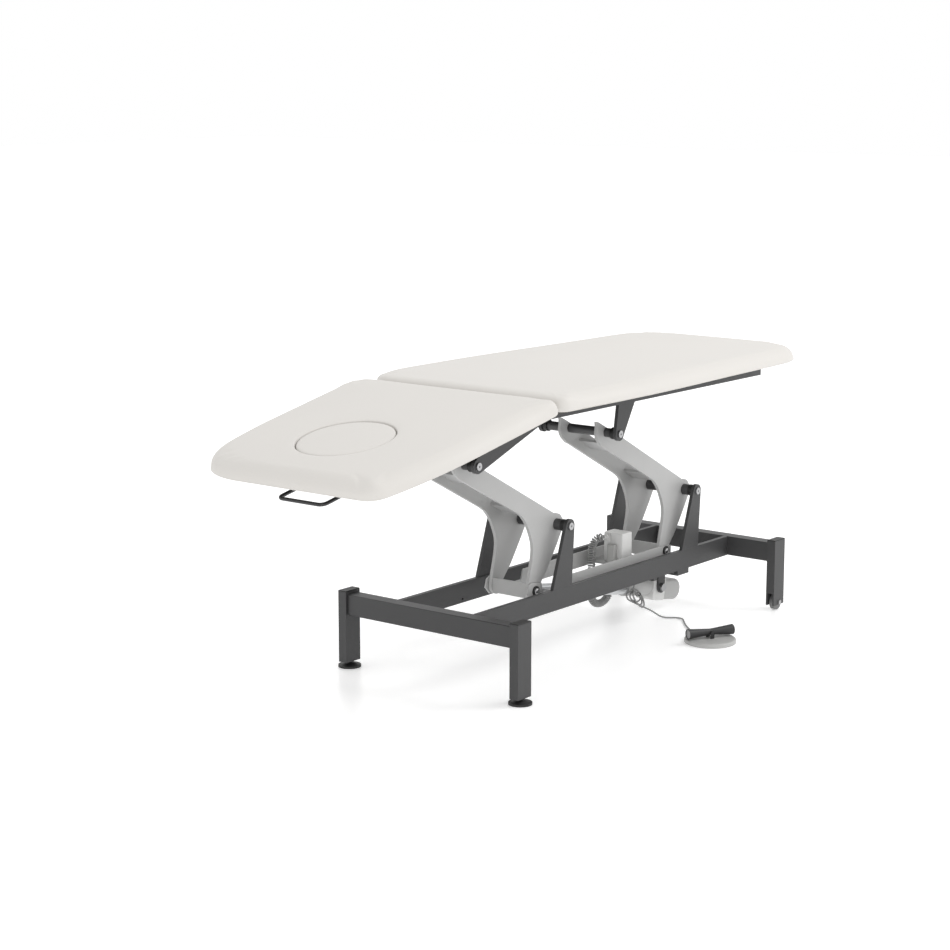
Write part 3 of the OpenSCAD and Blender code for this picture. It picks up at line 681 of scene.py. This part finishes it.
def finish_pad(name, verts, faces, to_world, body, replaces):
    o = mesh(name, [to_world(v) for v in verts], faces, "vinyl", None)
    co = np.array([v.co for v in o.data.vertices])
    src = np.array([tuple(to_world(v)) for v in verts])
    # the underside is stapled to the board, so it stays
    low = np.array([v[2] < PAD_BOTTOM + 12 for v in verts])
    tree = KDTree(len(src))
    for i, p in enumerate(src):
        tree.insert(p, i)
    tree.balance()
    pins = [i for i, p in enumerate(co) if low[tree.find(p)[1]]]
    inflate(o, 12, 2.0, 0.0022, pins)
    sub = o.modifiers.new("smooth", "SUBSURF")
    sub.levels = sub.render_levels = 1
    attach(o, body)
    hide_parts(*replaces)
    return o


def long_world(v):
    return at(HINGE_MM[0] + v[0], v[1], v[2])


# distance from the hinge and half-width along each pad
LONG_LEN, HEAD_LEN = 1339, 698
LONG_KNOTS = [(0, 353), (447, 356), (893, 334), (1180, 320), (LONG_LEN, 308)]
HEAD_KNOTS = [(0, 353), (233, 350), (466, 341), (583, 326), (HEAD_LEN, 301)]
PLUG_X, PLUG_R = 443.0, 129.0


def spine_long(o):
    """The line down the long pad's middle that its rings close on."""
    return np.column_stack([np.clip(o[:, 0], 320, 1060), np.zeros(len(o))])


def rim_head(o):
    """The rim of the face opening that the head pad's rings close on."""
    d = o - np.array([PLUG_X, 0.0])
    return np.array([PLUG_X, 0.0]) + d / np.linalg.norm(d, axis=1)[:, None] * (PLUG_R + 1.2)


out_long = pad_outline(LONG_KNOTS, GAP, LONG_LEN, (150, 150), (40, 165))
v, f = pad_surface(out_long, spine_long, 200,
                   [(GAP, 352, 60), (GAP, -352, 60), (1300, 250, 90), (1300, -250, 90)],
                   np.linspace(0, 1, 30) ** 1.5)
cushion = finish_pad("long_cushion", v, f, long_world, "top_frame", ("long_pad",))
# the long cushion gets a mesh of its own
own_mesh(cushion)

out_head = pad_outline(HEAD_KNOTS, GAP, HEAD_LEN, (90, 158), (30, 46))
v, f = pad_surface(out_head, rim_head, 190,
                   [(GAP, 352, 60), (GAP, -352, 60), (HEAD_LEN, 257, 70), (HEAD_LEN, -257, 70)],
                   np.linspace(0, 1, 26) ** 1.35, hole=PLUG_X)
finish_pad("head_cushion", v, f, head_world, "head_section", ("head_pad",))

# face plug: a low round cushion in the opening
PROF_R, PLUG_CLEAR = 130.8, 0.9  # the profile's widest radius, scaled to sit that far inside the opening
prof = [(0, 46.6), (20, 46.6), (50, 46.5), (80, 46.3), (105, 46.0), (118, 45.6), (125, 45.0), (128.4, 43.6),
        (130.0, 41.0), (130.6, 37), (PROF_R, 30), (PROF_R, 10), (130.2, 4), (128, 1), (124, 0), (60, 0),
        (0, 0)]
prof = [(r * (PLUG_R - PLUG_CLEAR) / PROF_R, h) for r, h in prof]
pv, pf = lathe(prof, Vector((0, 0, 0)), (0, 0, 1), 128)
pv = [head_world((PLUG_X + p.x * 1000, p.y * 1000, PAD_BOTTOM + 0.2 + p.z * 1000)) for p in pv]
plug = mesh("plug_cushion", pv, pf, "vinyl", "face_plug", ("plug_pad",))

# ---- lights and floor ----------------------------------------------------------------------------
world = bpy.data.worlds.new("studio")
scene.world = world
world.use_nodes = True
bg = world.node_tree.nodes["Background"]
bg.inputs["Color"].default_value = (1, 1, 1, 1)
bg.inputs["Strength"].default_value = 1.0


def area(name, loc, size, power, target):
    d = bpy.data.lights.new(name, "AREA")
    d.shape = "RECTANGLE"
    d.size, d.size_y = size
    d.energy = power
    o = bpy.data.objects.new(name, d)
    scene.collection.objects.link(o)
    o.location = loc
    o.rotation_euler = (Vector(target) - Vector(loc)).to_track_quat("-Z", "Y").to_euler()


area("key", (2.8, -3.0, 3.6), (1.6, 1.6), 60, (0.1, 0, 0.5))
area("top", (0.5, -0.5, 5.0), (3, 3), 26, (0, 0, 0))
area("fill", (-4.2, -3.0, 1.4), (2.5, 2.0), 22, (-0.5, 0, 0.75))

floor_white, _, _, shader = nodes_of("floor_white")
shader.inputs["Base Color"].default_value = (0.93, 0.93, 0.93, 1)
shader.inputs["Roughness"].default_value = 0.28
shader.inputs["Specular IOR Level"].default_value = 0.35
shader.inputs["Emission Color"].default_value = (1, 1, 1, 1)
shader.inputs["Emission Strength"].default_value = 0.30
FLOOR_HALF, FLOOR_Z = 30, -0.0005
fd = bpy.data.meshes.new("studio_floor")
fd.from_pydata([(x * FLOOR_HALF, y * FLOOR_HALF, FLOOR_Z) for x, y in ((-1, -1), (1, -1), (1, 1), (-1, 1))],
               [], [(0, 1, 2, 3)])
floor = bpy.data.objects.new("studio_floor", fd)
scene.collection.objects.link(floor)
fd.materials.append(floor_white)
